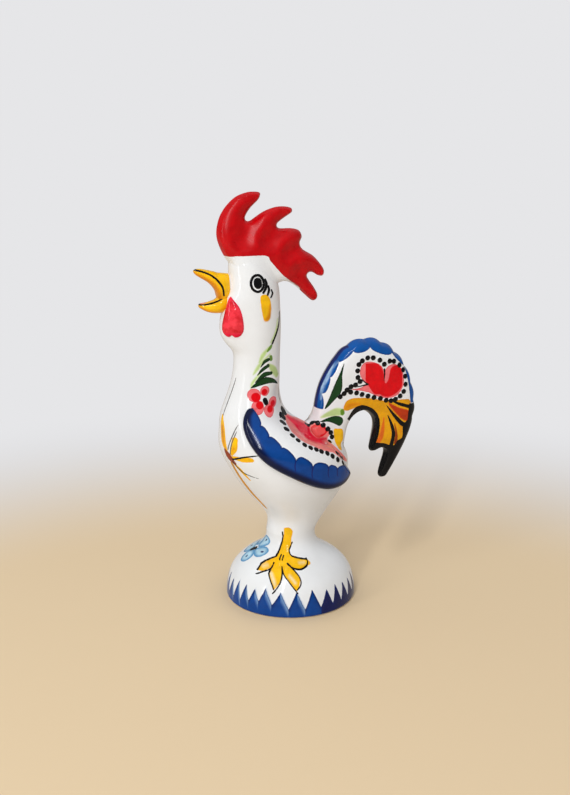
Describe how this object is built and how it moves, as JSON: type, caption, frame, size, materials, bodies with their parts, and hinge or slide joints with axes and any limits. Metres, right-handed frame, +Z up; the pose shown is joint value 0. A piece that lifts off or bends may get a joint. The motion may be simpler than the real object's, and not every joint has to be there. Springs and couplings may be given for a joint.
{
  "type": "rooster figurine",
  "caption": "Standing glazed ceramic rooster on a domed base, with a lobed comb, open beak, wattles, raised wings and an arched sickle tail, hand painted.",
  "frame": {"origin": "centre of the foot ring, on the surface that the figure stands on", "axes": "+Z up, the rooster faces -X, its left side is -Y"},
  "size_m": [0.0769, 0.0448, 0.14],
  "materials": {
    "white_glaze": "gloss",
    "red_glaze": "gloss",
    "yellow_glaze": "gloss",
    "pink_glaze": "gloss"
  },
  "bodies": {
    "root": {"pedestal": "white_glaze", "body": "white_glaze", "comb": "red_glaze", "tail": "white_glaze", "upper_beak": "yellow_glaze", "lower_beak": "yellow_glaze", "left_wattle": "pink_glaze", "right_wattle": "pink_glaze", "left_wing": "white_glaze", "right_wing": "white_glaze"}
  },
  "joints": []
}
